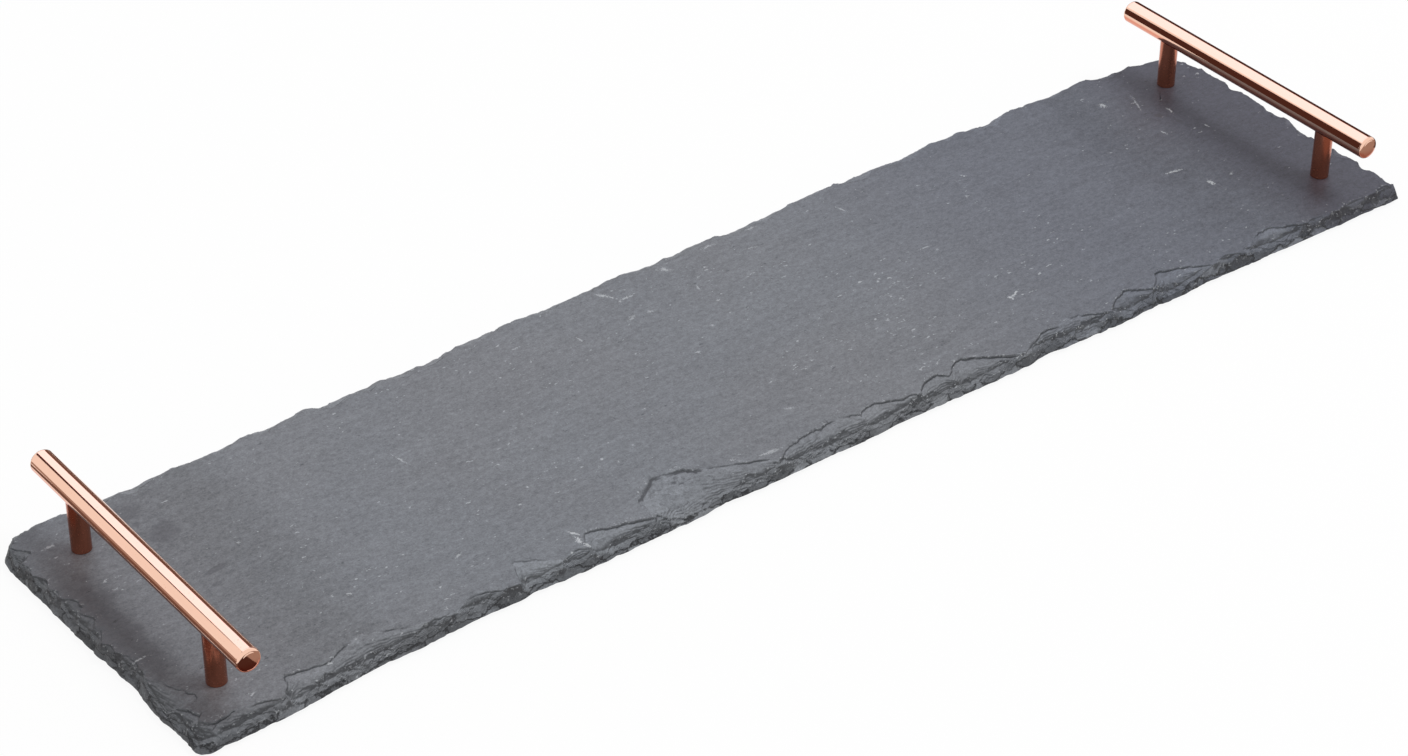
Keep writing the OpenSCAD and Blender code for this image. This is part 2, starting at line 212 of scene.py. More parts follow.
def addStudio(s):
    world = bpy.data.worlds.new("studioWorld")
    bpy.context.scene.world = world
    world.use_nodes = True
    world.node_tree.nodes.clear()
    wire = Wire(world.node_tree)
    light = wire.node("ShaderNodeBackground", {"Color": (1, 1, 1, 1), "Strength": s["worldLight"]})
    white = wire.node("ShaderNodeBackground", {"Color": (1, 1, 1, 1)})
    mixed = wire.node("ShaderNodeMixShader", {0: looking(wire), 1: light, 2: white})
    wire.node("ShaderNodeOutputWorld", {"Surface": mixed})

    for name, kind in s["lamps"].items():
        lamp = addObject(name, bpy.data.lights.new(name, "AREA"))
        lamp.data.shape = "SQUARE"
        lamp.data.size, lamp.data.energy = kind["size"], kind["power"]
        lamp.location = kind["place"]
        lamp.rotation_euler = (-Vector(kind["place"])).to_track_quat("-Z", "Y").to_euler()
        lamp.visible_glossy = False  # the copper mirrors the cards instead

    material, wire, _ = newMaterial("paleFloor")
    matte = wire.node("ShaderNodeBsdfDiffuse", {"Color": s["floorColor"]})
    glow = wire.node("ShaderNodeEmission", {"Color": (1, 1, 1, 1)})
    mixed = wire.node("ShaderNodeMixShader", {0: looking(wire) * s["floorGlow"], 1: matte, 2: glow})
    wire.node("ShaderNodeOutputMaterial", {"Surface": mixed})
    half = s["floorSize"] / 2
    floor = addSheet("floor", [(-half, -half, 0), (half, -half, 0), (half, half, 0), (-half, half, 0)], material)


# Corners of a card that lies level or stands across X
def levelCard(x0, x1, y0, y1):
    z = 1 * mm
    return [(x0, y0, z), (x1, y0, z), (x1, y1, z), (x0, y1, z)]


def uprightCard(x, y0, y1, z0, z1):
    return [(x, y0, z0), (x, y1, z0), (x, y1, z1), (x, y0, z1)]


# Cards that show only in polished surfaces: glowing sheets that paint dark and bright reflections into the copper
# and a darker sheen into the slate near the bars. Their colours, and the colour and corners of each
cards = {
    "colors": {
        "dark": (0.074, 0.03, 0.023, 1),
        "brown": (0.17, 0.10, 0.08, 1),
        "mid": (0.38, 0.28, 0.24, 1),
        "bright": (1.42, 1.41, 1.6, 1),
    },
    "sheets": {
        "rightBand": ("dark", [
            (0.26, -0.068, 0.0305), (0.26, 0.105, 0.0305), (0.26, 0.105, 0.0475), (0.26, -0.068, 0.0525),
        ]),
        "rearCard": ("dark", [
            (0.1, 0.15, 0.001), (0.1, 0.6, 0.001), (-0.56, 0.6, 0.001), (-0.4, 0.3, 0.001), (-0.25, 0.15, 0.001),
        ]),
        "rightFloor": ("dark", levelCard(0.33, 1.0, -0.1, 1.2)),
        "rightFlag": ("dark", uprightCard(1.0, 0.3, 1.2, 0, 0.47)),
        "leftLine": ("dark", [(-0.340, 0.09, 0.2), (-0.328, 0.09, 0.2), (-0.295, 0.27, 0.2), (-0.357, 0.27, 0.2)]),
        "leftFlag": ("brown", uprightCard(-0.2, -0.03, 0.24, 0.035, 0.088)),
        "leftFloorNear": ("brown", levelCard(-0.36, -0.306, -0.09, 0.14)),
        "leftFloorFar": ("mid", levelCard(-0.62, -0.36, -0.02, 0.4)),
        "leftNearCard": ("dark", levelCard(-0.4, -0.254, -0.3, -0.08)),
        "leftMidCard": ("mid", levelCard(-0.254, -0.1, -0.3, -0.08)),
        "rightNearCard": ("mid", levelCard(0.2, 0.5, -0.3, -0.08)),
        "overhead": ("bright", [(-0.55, 0.6, 1.2), (1.95, 0.6, 1.2), (1.95, 2.3, 1.2), (-0.68, 2.3, 1.2)]),
    },
}


def addCards(wanted):
    for name, (color, corners) in wanted["sheets"].items():
        material, wire, _ = newMaterial(name)
        glow = wire.node("ShaderNodeEmission", {"Color": wanted["colors"][color]})
        wire.node("ShaderNodeOutputMaterial", {"Surface": glow})
        card = addSheet(name, corners, material)
        card.visible_camera = card.visible_diffuse = card.visible_shadow = card.visible_transmission = False


addStudio(studio)
addCards(cards)
bpy.context.scene.view_settings.view_transform = "Standard"
print("studio lit")


# Slate. A flake scar is given by its start, deepest place and end along its side, its reach, the step under the
# face and its fade-in, all in mm.
slateShape = {
    "frontGap": 0.62 * mm,  # between stations round the outline, at the front and the left end
    "rearGap": 1.15 * mm,
    "border": 34 * mm,  # rays run from the stations towards a rectangle this far inside the outline
    "raySpans": [(0, 2.6, 0.03), (2.6, 15, 0.09), (15, 28, 0.3)],  # from, to and step along each ray in mm
    "rows": 50,
    "chip": 0.62 * mm,
    "shift": 0.7 * mm,  # of the scars along the front and the rear
    "lean": 0.42 * mm,  # of the broken lip, then its least and greatest height
    "lip": (0.7 * mm, 2.0 * mm),
    "layer": 0.42 * mm,  # thickness of the layers that the stone parts in
    "layerShare": 0.6,
    "holeRadius": 2.5 * mm,
    "counterboreRadius": 5.5 * mm,
    "holeSides": 48,
    "sharpAngle": 22,
    "seed": 11,
    # How far the scars of each side fall towards the lip, the widest of the small scars under them and of the
    # bevel between them in mm, and the scars, or for the sides that face away the ranges they are drawn from
    "sides": {
        "right": {
            "fall": 0.34, "lower": 1.0, "bevel": 0.8,
            "width": (7, 20), "reach": (2.2, 6.0), "step": (0.25, 0.55),
        },
        "rear": {
            "fall": 0.3, "lower": 0.9, "bevel": 0.7,
            "width": (14, 44), "reach": (2.5, 7.0), "step": (0.2, 0.45),
        },
        "front": {"fall": 0.94, "lower": 0.9, "bevel": 2.1, "flakes": [
            (-299, -283, -252, 7.6, 0.7, 3), (-263.5, -258.5, -225, 12.2, 0.75, 2),
            (-252, -226, -192, 12.2, 0.5, 9), (-236, -229, -214, 5.5, 0.5, 2), (-209, -199, -186, 4.2, 0.5, 3),
            (-192, -178, -160, 5.2, 0.45, 5), (-161.5, -156, -137, 12.6, 0.6, 2),
            (-144, -132, -121, 5.8, 0.6, 3), (-129, -122, -88, 12.2, 0.6, 3), (-112, -106, -94, 5.0, 0.45, 2),
            (-100, -84, -31, 24.6, 0.75, 13), (-84, -69, -58, 3.6, 0.5, 4), (-60, -50, -36, 8.2, 0.4, 5),
            (-41, -12, 1, 10.4, 0.65, 5), (-29, -1, 17, 11.4, 0.6, 4), (-2, 18, 33, 10.4, 0.7, 4),
            (15, 33, 41, 5.6, 0.5, 4), (32, 49, 58, 10.7, 0.7, 3), (49, 60, 86.5, 13.4, 0.75, 3),
            (46, 60, 69, 2.9, 0.4, 3), (86, 121, 127, 7.7, 0.5, 6), (105, 118, 139, 8.9, 0.65, 3),
            (134, 148, 166, 9.5, 0.7, 3), (159, 171, 193.5, 12.1, 0.75, 3), (170, 180, 190, 4.2, 0.5, 3),
            (192, 203, 212, 3.6, 0.5, 3), (208, 232, 251, 8.4, 0.6, 6), (226, 238, 247, 3.4, 0.5, 3),
            (243, 251, 270, 3.2, 0.5, 3), (262, 276, 292, 3.4, 0.6, 3), (284, 296, 306, 4.6, 0.7, 3),
        ]},
        "left": {"fall": 0.92, "lower": 1.2, "bevel": 3.0, "flakes": [
            (-80, -71, -61, 17.5, 0.5, 4), (-74, -69, -62, 9.0, 0.7, 2), (-63, -60, -41, 7.4, 0.8, 2),
            (-53, -48, -26, 13.6, 0.5, 3), (-47, -40, -33, 5.0, 0.7, 2), (-33, -26, -20, 3.0, 0.8, 2),
            (-29, -17, -13, 5.2, 0.8, 2), (-13, -9, -3, 2.8, 0.7, 2), (-6, 4, 9, 5.4, 0.8, 2),
            (2, 11, 20, 6.6, 0.8, 2), (11, 22, 29, 6.8, 0.7, 3), (26, 30, 37, 4.4, 0.8, 2),
            (33, 40, 46, 4.0, 0.8, 2), (44, 50, 56, 3.0, 0.7, 2), (53, 57, 67, 7.6, 0.7, 2),
            (62, 69, 80, 4.5, 0.6, 3),
        ]},
    },
}


# Smooth random values from -1 to 1 along a line, or over a plane when b is given, with waves so many mm long
def rough(a, wavelength, seed, b=None):
    size = 4096 if b is None else 256
    lattice = np.random.default_rng(seed).uniform(-1, 1, size if b is None else (size, size))

    def cell(at):
        u = np.asarray(at) / (wavelength * mm) + 1000.5  # keeps all cells positive
        i = np.floor(u).astype(int)
        f = u - i
        return i, f * f * (3 - 2 * f)

    i, f = cell(a)
    if b is None:
        return lattice[i % size] * (1 - f) + lattice[(i + 1) % size] * f
    j, g = cell(b)
    low, high = (lattice[i % size, k % size] * (1 - f) + lattice[(i + 1) % size, k % size] * f for k in (j, j + 1))
    return low * (1 - g) + high * g


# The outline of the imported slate's underside, anticlockwise from above
def packedOutline(node):
    work = bmesh.new()
    work.from_mesh(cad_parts[node].data)
    bmesh.ops.remove_doubles(work, verts=work.verts, dist=0.001 * mm)
    low = min(v.co.z for v in work.verts)
    steep = lambda face: face.normal.z > -0.99
    onRim = lambda e: all(v.co.z < low + 0.001 * mm for v in e.verts) and len({steep(f) for f in e.link_faces}) == 2
    linked = {}
    for edge in filter(onRim, work.edges):
        for a, b in (edge.verts, reversed(edge.verts)):
            linked.setdefault(a.index, []).append(b.index)
    spots = {v.index: v.co.xy.copy() for v in work.verts}
    work.free()
    start = min(linked, key=lambda i: spots[i].x)  # the outline is the loop that reaches furthest
    loop = [start, linked[start][0]]
    while loop[-1] != start:
        loop.append(next(i for i in linked[loop[-1]] if i != loop[-2]))
    points = np.array([spots[i] for i in loop[:-1]])
    x, y = points.T
    area = (x * np.roll(y, -1) - y * np.roll(x, -1)).sum()
    return points if area > 0 else points[::-1]


# Stations round a closed outline, on a smooth curve through its points, with small chips broken out.
# They stand closer at the front and the left end than on the far sides.
def stationsOf(points, s):
    step = np.linalg.norm(np.roll(points, -1, 0) - points, axis=1)
    middle = (points + np.roll(points, -1, 0)) / 2
    slant = middle[:, 0] / points[:, 0].max() + middle[:, 1] / points[:, 1].max()
    gap = np.where(slant < 0, s["frontGap"], s["rearGap"])
    run = np.concatenate([[0], np.cumsum(step)])
    pace = np.concatenate([[0], np.cumsum(step / gap)])
    count = int(pace[-1])
    where = np.interp(np.arange(count) * pace[-1] / count, pace, run)
    k = np.clip(np.searchsorted(run, where, side="right") - 1, 0, len(points) - 1)
    t = ((where - run[k]) / step[k])[:, None]
    p0, p1, p2, p3 = (points[(k + i) % len(points)] for i in (-1, 0, 1, 2))
    bend, twist = 2 * p0 - 5 * p1 + 4 * p2 - p3, 3 * p1 - p0 - 3 * p2 + p3
    curve = 0.5 * (2 * p1 + (p2 - p0) * t + bend * t**2 + twist * t**3)
    ahead = np.roll(curve, -1, 0) - np.roll(curve, 1, 0)
    inward = np.stack([-ahead[:, 1], ahead[:, 0]], 1) / np.linalg.norm(ahead, axis=1)[:, None]
    bite = 0.5 * rough(where, 5.5, s["seed"]) + 0.35 * rough(where, 2.2, s["seed"] + 1)
    bite += 0.35 * rough(where, 1.5, s["seed"] + 2)
    return curve + inward * (s["chip"] * np.maximum(0, bite))[:, None], where


# Flakes at random along a side that faces away
def randomFlakes(rule, low, high, random):
    flakes, at = [], low - 4
    while at < high:
        width = random.uniform(*rule["width"])
        peak = at + width * random.uniform(0.25, 0.7)
        step = random.uniform(*rule["step"])
        flakes.append((at, peak, at + width, random.uniform(*rule["reach"]), step, 0.12 * width))
        at += width * random.uniform(0.6, 0.9)
    return flakes


# Smaller flakes that follow in the wake of each flake, nearer the edge
def smallerFlakes(flakes, random):
    smaller = []
    for start, _, end, reach, *_ in flakes:
        at = start + random.uniform(-2, 4)
        while at < end - 3:
            width = random.uniform(4, 18)
            peakAt = at + width * random.uniform(0.1, 0.6)
            depth = random.uniform(0.2, 0.7)
            smaller.append((at, peakAt, at + width, random.uniform(0.12, 0.6) * min(reach, 8), depth, 1))
            at += width * random.uniform(0.25, 0.8)
    return smaller


# One flake along its side and in from it: the place along it, its arc there and how far in from its arc a spot is
def arcOf(flake, a, inside, seed):
    start, peak, end, reach = flake[:4]
    waver = 0.6 * rough(inside, 2.6, seed) + 0.3 * rough(inside, 0.9, seed + 1)
    a = a + mm * waver + 0.25 * inside * rough(inside, 6, seed + 6)
    rise = np.clip((a - start * mm) / ((peak - start) * mm), 0, 1)
    fall = np.clip((end * mm - a) / ((end - peak) * mm), 0, 1)
    arc = np.sin(rise * math.pi / 2) ** 0.75 * fall**0.85
    jag = 0.55 * rough(a, 4.5, seed + 2) + 0.35 * rough(a, 1.9, seed + 3)
    jag += 0.2 * rough(a, 0.8, seed + 4)
    return a, arc, reach * mm * arc + jag * mm * np.sqrt(arc) - inside


# Strikes the flakes of all sides off, as heights against the face at the spots x, y along the rays
def strikeFlakes(stations, sideOf, x, y, thickness, s):
    low, high = stations.min(0), stations.max(0)
    random = np.random.default_rng(s["seed"])
    surface, tone, flaked = np.zeros_like(x), np.zeros_like(x), np.zeros_like(x, bool)
    lipMid = sum(s["lip"]) / 2
    seed = 100
    for order, (name, rule) in enumerate(s["sides"].items()):
        axis = 0 if name in ("front", "rear") else 1
        edge = stations[sideOf == order]
        edge = edge[edge[:, axis].argsort()]
        along, across = (x, y) if axis == 0 else (y, x)
        inside = across - np.interp(along, edge[:, axis], edge[:, 1 - axis])
        if name in ("right", "rear"):
            inside = -inside
        spot = along - s["shift"] if axis == 0 else along
        flakes = rule.get("flakes") or randomFlakes(rule, low[axis] / mm, high[axis] / mm, random)

        # Between the flakes the edge is bevelled
        width = 0.6 + 0.7 * rough(spot, 9, seed + 3) + 0.35 * rough(spot, 3.2, seed + 4)
        width = mm * np.maximum(width, 0.25) * rule["bevel"]
        bevel = np.clip((width - inside) / width, 0, 1)
        near = (bevel > 0) & (inside[:, :1] < 5 * mm)
        full = rule["fall"] * (thickness - lipMid)
        surface = np.minimum(surface, np.where(near, -full * bevel**0.85 - 0.12 * mm, 0))
        flaked |= near

        for small, rows in enumerate((flakes, smallerFlakes(flakes, random))):
            for flake in rows:
                seed += 10
                start, peak, end, reach, step, fade = flake
                near = (inside[:, 0] < 30 * mm) & (spot.min(1) < end * mm) & (spot.max(1) > start * mm)
                index = np.flatnonzero(near)
                if not len(index):
                    continue
                a, arc, into = arcOf(flake, spot[index], inside[index], seed)
                covered = (into > 0) & (arc > 0)
                fadeIn = np.clip((a - start * mm) / (fade * mm), 0, 1)
                strength = fadeIn * np.clip((end * mm - a) / (fade * mm), 0, 1)
                brokenStep = step * mm * np.clip(0.78 + 0.45 * rough(a, 11, seed + 5), 0.3, 1.15)
                ripple = 0.03 * mm * np.sin(into / (0.42 * mm) + 3 * rough(a, 5, seed + 7))
                before = surface[index]
                if small:
                    slope = random.uniform(0, 0.12) * into
                    drop = strength * (brokenStep * rule["fall"] ** 0.5 + slope + ripple)
                    before[covered] -= drop[covered]
                else:
                    fallen = rule["fall"] * (thickness - lipMid - step * mm)
                    share = np.clip(into / np.maximum(into + inside[index], 1.2 * mm), 0, 1)
                    tilt = random.uniform(-0.03, 0.03) * (a - peak * mm)
                    drop = strength * (brokenStep + fallen * share ** min(1.2 + 0.1 * reach, 2.5) + tilt + ripple)
                    cutDown = np.where(covered, -drop, 0)
                    covered &= cutDown < before
                    before = np.minimum(before, cutDown)
                surface[index] = before
                flaked[index] |= covered
                shade = tone[index]
                shade[covered] = shade[covered] * 0.5 + random.uniform(-0.7, 0.7)
                tone[index] = shade
    return surface, flaked, tone


# The stone parts in thin layers, which show as small steps on the sloping scars, and in grain
def partLayers(surface, flaked, x, y, s):
    seed, layer = s["seed"], s["layer"]
    wave = 1.6 * (0.35 * rough(x, 9, seed + 8, y) + 0.16 * rough(x, 2.3, seed + 9, y))
    level = -surface / layer + wave
    stair = np.floor(level) + np.clip((level - np.floor(level) - 0.68) / 0.32, 0, 1)
    keep = s["layerShare"] * np.clip(0.5 + rough(x, 7, seed + 12, y), 0, 1)
    surface = np.where(flaked, surface * (1 - keep) - (stair - wave) * layer * keep, surface)
    grain = 0.045 * mm * rough(x, 1.5, seed + 5, y) + 0.06 * mm * rough(x, 4.5, seed + 6, y)
    return np.where(flaked, np.minimum(surface + grain, -0.02 * mm), 0)


# Down to the broken lip runs a row of small steep scars
def breakLip(surface, depth, along, lower, thickness, s):
    seed = s["seed"] + 40
    waves = np.abs(rough(along, 8, seed)) + 0.6 * np.abs(rough(along, 3.1, seed + 1))
    reach = s["lean"] + lower * (0.16 + 0.84 * np.clip(waves, 0, 1)) + 0.2 * mm * rough(along, 1.1, seed + 2)
    reach = np.maximum(reach, s["lean"] + 0.15 * mm)
    low, high = s["lip"]
    lip = low + (high - low) * np.clip(0.45 + 0.6 * rough(along, 7, seed + 3), 0, 1)
    lip += 0.2 * mm * rough(along, 1.6, seed + 4)
    foot = (lip - thickness)[:, None]
    surface = np.maximum(surface, foot + 0.35 * mm + 0.1 * depth)
    edge = np.array([np.interp(r, depth, h) for r, h in zip(reach, surface)])
    step = mm * np.clip(0.2 + 0.3 * rough(along, 5, seed + 5), 0.03, 0.5)
    top = np.maximum(edge - step, foot[:, 0] + 0.3 * mm)[:, None]
    share = np.clip((depth - s["lean"]) / (reach - s["lean"])[:, None], 0, 1)
    bend = np.clip(1 + 0.5 * rough(along, 6, seed + 6), 0.5, 1.6)[:, None]
    facet = foot + (top - foot) * share**bend
    riser = 0.5 * mm
    wave = 0.5 * rough(along, 3, seed + 7)[:, None]
    level = facet / riser + wave
    stair = (np.floor(level) + np.clip((level - np.floor(level) - 0.4) / 0.6, 0, 1) - wave) * riser
    steep = depth < reach[:, None]
    facet = facet * 0.4 + np.clip(stair, foot, top) * 0.6
    return np.where(steep, np.minimum(surface, facet), surface), steep


# Heights of the dressed edge along rays that run into the board from every station
def carve(stations, along, thickness, s):
    low, high = stations.min(0), stations.max(0)
    ray = np.clip(stations, low + s["border"], high - s["border"]) - stations
    ray /= np.abs(ray).max(1)[:, None]
    depth = np.concatenate([np.arange(*span) for span in s["raySpans"]]) * mm
    x = stations[:, :1] + ray[:, :1] * depth
    y = stations[:, 1:] + ray[:, 1:] * depth
    gaps = dict(zip(("left", "front", "right", "rear"), np.hstack([stations - low, high - stations]).T))
    sideOf = np.array([gaps[name] for name in s["sides"]]).argmin(0)
    surface, flaked, tone = strikeFlakes(stations, sideOf, x, y, thickness, s)
    surface = partLayers(surface, flaked, x, y, s)
    lower = np.array([rule["lower"] for rule in s["sides"].values()])[sideOf] * mm
    surface, steep = breakLip(surface, depth, along, lower, thickness, s)
    return depth, ray, surface, flaked, steep, tone


# Spreads the rows of the mesh so that they crowd where the height changes
def spreadRows(depth, surface, flaked, s):
    fall = np.abs(np.diff(surface, axis=1))
    bend = np.abs(np.diff(fall, axis=1, append=fall[:, -1:]))
    weight = np.diff(depth) * np.where(flaked[:, 1:], 1.0, 0.14) + 2.2 * fall + 1.5 * bend
    weight[:, depth[1:] < s["lean"]] = 0
    for _ in range(3):
        weight = (np.roll(weight, 1, 0) + weight + np.roll(weight, -1, 0)) / 3
    total = np.cumsum(weight, axis=1)
    total = np.concatenate([np.zeros((len(total), 1)), total / total[:, -1:]], 1)
    wanted = np.linspace(0, 1, s["rows"])
    rowDepths = np.array([np.interp(wanted, t, depth) for t in total])
    rowDepths[:, 0] = s["lean"]
    return rowDepths


# Fills the flat area between the first rim and the holes that the others make
def fillFlat(work, rims):
    flat = [v for rim in rims for v in rim]
    at = {v: i for i, v in enumerate(flat)}
    edges = [(at[a], at[b]) for rim in rims for a, b in zip(rim, rim[1:] + rim[:1])]
    spots = [v.co.xy for v in flat]
    spots, _, triangles, origins, _, _ = delaunay_2d_cdt(spots, edges, [], 1, 0.0)
    level = flat[0].co.z
    flat = [flat[o[0]] if o else work.verts.new((spot.x, spot.y, level)) for spot, o in zip(spots, origins)]
    holes = []
    for rim in rims[1:]:
        middle = sum((v.co.xy for v in rim), Vector((0, 0))) / len(rim)
        holes.append((middle, (rim[0].co.xy - middle).length))
    for triangle in triangles:
        middle = sum((spots[i] for i in triangle), Vector((0, 0))) / 3
        if all((middle - centre).length > radius for centre, radius in holes):
            work.faces.new([flat[i] for i in triangle])


# What the material reads: painted shade at the feet of steps, their pale rims with some painted highlight, broken
# stone and the flakes' tones
def paintLayers(surface, flaked, steep, tone):
    above, below = surface.copy(), surface.copy()
    for k in range(1, 7):
        above[:, :-k] = np.maximum(above[:, :-k], surface[:, k:])
        below[:, k:] = np.minimum(below[:, k:], surface[:, :-k])
    return {
        "crevice": np.clip((above - surface - 0.16 * mm) / (0.2 * mm), 0, 1) * np.where(steep, 0.35, flaked),
        "rim": np.clip((surface - below - 0.3 * mm) / (0.3 * mm), 0, 1) * np.where(steep, 0.4, 1.0),
        "broken": np.where(steep, 1.0, np.where(flaked, 0.45, 0.0)),
        "tone": tone,
    }


# Drills a screw hole with its counterbore and gives its rims in the underside and in the face
def drillHole(work, place, lowest, highest, s):
    low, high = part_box("_".join(place) + "_washer")
    centre = (low + high) / 2
    turns = [2 * math.pi * i / s["holeSides"] for i in range(s["holeSides"])]
    wide, narrow = s["counterboreRadius"], s["holeRadius"]
    rings = []
    for radius, z in ((wide, lowest), (wide, high.z), (narrow, high.z), (narrow, highest)):
        spots = [(centre.x + radius * math.cos(t), centre.y + radius * math.sin(t), z) for t in turns]
        rings.append([work.verts.new(spot) for spot in spots])
    for a, b in zip(rings, rings[1:]):
        for i in range(len(a)):
            j = (i + 1) % len(a)
            work.faces.new([a[i], a[j], b[j], b[i]])
    return rings[0], rings[-1]


def buildSlate(s):
    lowest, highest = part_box("slate_board")
    stations, along = stationsOf(packedOutline("slate_board"), s)
    depth, ray, surface, flaked, steep, tone = carve(stations, along, highest.z - lowest.z, s)
    rowDepths = spreadRows(depth, surface, flaked, s)
    read = lambda grid: np.array([np.interp(p, depth, g) for p, g in zip(rowDepths, grid)]).T
    layers = {name: read(grid) for name, grid in paintLayers(surface, flaked, steep, tone).items()}

    # Rings of vertices: one round the underside, then one for each row of the edge
    count = len(stations)
    base = np.column_stack([stations, np.full(count, lowest.z)])
    xy = stations + ray * rowDepths.T[..., None]
    rings = np.concatenate([base[None], np.dstack([xy, highest.z + read(surface)])])
    work = bmesh.new()
    verts = [work.verts.new(v) for v in rings.reshape(-1, 3)]
    rings = [verts[i:i + count] for i in range(0, len(verts), count)]
    for lower, upper in zip(rings, rings[1:]):
        for i in range(count):
            j = (i + 1) % count
            work.faces.new([lower[i], lower[j], upper[j], upper[i]])
    under, face = [rings[0]], [rings[-1]]
    for place in places:
        brim, mouth = drillHole(work, place, lowest.z, highest.z, s)
        under.append(brim)
        face.append(mouth)
    fillFlat(work, under)
    fillFlat(work, face)
    bmesh.ops.recalc_face_normals(work, faces=work.faces)
    mesh = bpy.data.meshes.new("slateBoard")
    work.to_mesh(mesh)
    work.free()

    extra = len(mesh.vertices) - len(verts)
    for name, values in layers.items():
        flat = np.concatenate([values[0], values.reshape(-1), np.zeros(extra)])
        mesh.attributes.new(name, "FLOAT", "POINT").data.foreach_set("value", flat.astype(np.float32))
    mesh.shade_smooth()
    mesh.set_sharp_from_angle(angle=math.radians(s["sharpAngle"]))
    triangles = sum(len(p.vertices) - 2 for p in mesh.polygons)
    print("slate built:", triangles, "triangles,", count, "stations")
    return addObject("slateBoard", mesh)


slateFinish = {
    "blue": (0.138, 0.148, 0.163, 1),
    "brown": (0.1395, 0.146, 0.158, 1),
    "coldToneAndShade": (0.103, 0.112, 0.134, 1),
    "dark": (0.012, 0.013, 0.016, 1),
    "smudgeAndShade": (0.050, 0.050, 0.058, 1),
    "chalk": (0.50, 0.52, 0.54, 1),
    # painted shade for the right end, beside and beyond the right bar
    "end": (0.061, 0.063, 0.081, 1),
    "roughness": 0.47,
    "coldToneAndShadeFrom": (0.03, 0.18),  # along X, where the colder stone with painted shade sets in, and then the painted shade of the darker end
    "endShadeFrom": (0.235, 0.270),
    # Chalky scratches, and dark smudges that are mostly painted shade beside the bars and at the left end: middle in
    # mm, angle, half length and half width in mm, strength
    "scratches": [
        (-127, -56, -59, 2.5, 0.55, 0.9), (-128, -61, 82, 2.8, 0.8, 0.9), (-127, -65, -73, 2.1, 0.7, 0.9),
        (-124, -22, -59, 0.6, 0.5, 0.8), (-134, -65, -76, 0.6, 0.5, 0.8), (-295, -21, 3, 3.4, 0.4, 0.7),
        (-298, -21, -67, 2.2, 0.4, 0.6), (-239, 54, -5, 1.5, 0.4, 0.7), (-288, 56, 7, 3.0, 0.6, 0.6),
        (243, 51, -79, 1.9, 1.0, 0.8), (256, 43, 66, 6.6, 0.4, 0.5), (264, 30, 80, 2.4, 0.45, 0.9),
        (268, 11, -77, 1.3, 0.45, 0.7), (249, 18, -84, 1.7, 0.45, 0.7), (230, -8, -10, 4.4, 0.55, 0.8),
        (237, -24, -84, 2.2, 0.9, 0.8), (227, 18, -83, 0.7, 0.5, 0.7), (-153, 22, -76, 4.1, 0.4, 0.5),
        (-50, 45, -84, 2.4, 0.4, 0.5), (-22, 62, -61, 2.7, 0.4, 0.6), (96, 56, -74, 2.6, 0.4, 0.5),
        (47, 56, -13, 2.8, 0.4, 0.4), (105, 12, -2, 2.7, 0.4, 0.5), (109, -38, -72, 1.9, 0.65, 0.9),
        (112, -37, 26, 3.3, 0.5, 0.8), (-241, -64, -9, 1.2, 0.5, 0.7), (11, 46, 77, 2.0, 0.4, 0.5),
        (-169, -41, 23, 2.4, 0.45, 0.5), (-24, 65, -50, 3.2, 0.9, 0.6), (-17, 58, 4, 3.6, 0.6, 0.6),
        (8, 65, -48, 2.6, 1.0, 0.6), (-24, 45, 28, 2.6, 0.7, 0.4), (-15, 44, -30, 2.0, 0.7, 0.4),
        (33, 68, -5, 3.6, 0.6, 0.5), (56, 68, -2, 2.6, 0.6, 0.5), (-36, -61, -4, 4.2, 0.8, 0.5),
        (-51, -56, -15, 1.6, 0.6, 0.5), (-74, 56, 5, 2.2, 0.4, 0.4), (-17, 9, -38, 1.4, 0.6, 0.5),
        (-12, -43, -20, 2.4, 0.5, 0.4), (249, -24, 40, 1.2, 0.6, 0.6),
    ],
    "smudgesAndShade": [
        (257, 30, -26, 2.1, 1.4, 0.5), (261, 21, -79, 1.9, 0.9, 0.5), (-245, 7, 5, 5.2, 1.1, 0.5),
        (-250, -1, 6, 3.2, 0.8, 0.4), (-250, 37, -37, 6, 6, 0.42), (-255, 48, -37, 1.8, 1.3, 0.4),
        (-260, 56, 20, 12, 5, 0.4), (-294, 0, 90, 40, 8, 0.45), (259, 43, 83, 6.4, 4, 0.25),
        (-89, -61, -88, 1.2, 0.5, 0.6),
    ],
}


# How much a short stroke on the face covers a spot, fading out towards its ragged outline
def stroke(spot, mark, raggedness):
    x, y, angle, length, width, strength = mark
    local = spot.node("ShaderNodeMapping", {
        "Vector": spot, "Location": (x * mm, y * mm, 0), "Rotation": (0, 0, math.radians(angle)),
        "Scale": (length * 1.25 * mm, width * 1.6 * mm, 1),
    }, vector_type="TEXTURE")
    flat = spot.node("ShaderNodeVectorMath", {0: local, 1: (1, 1, 0)}, operation="MULTIPLY")
    away = spot.node("ShaderNodeVectorMath", {0: flat}, "Value", operation="LENGTH")
    return (1 - (away + raggedness)).between(0.0, 0.45) * strength


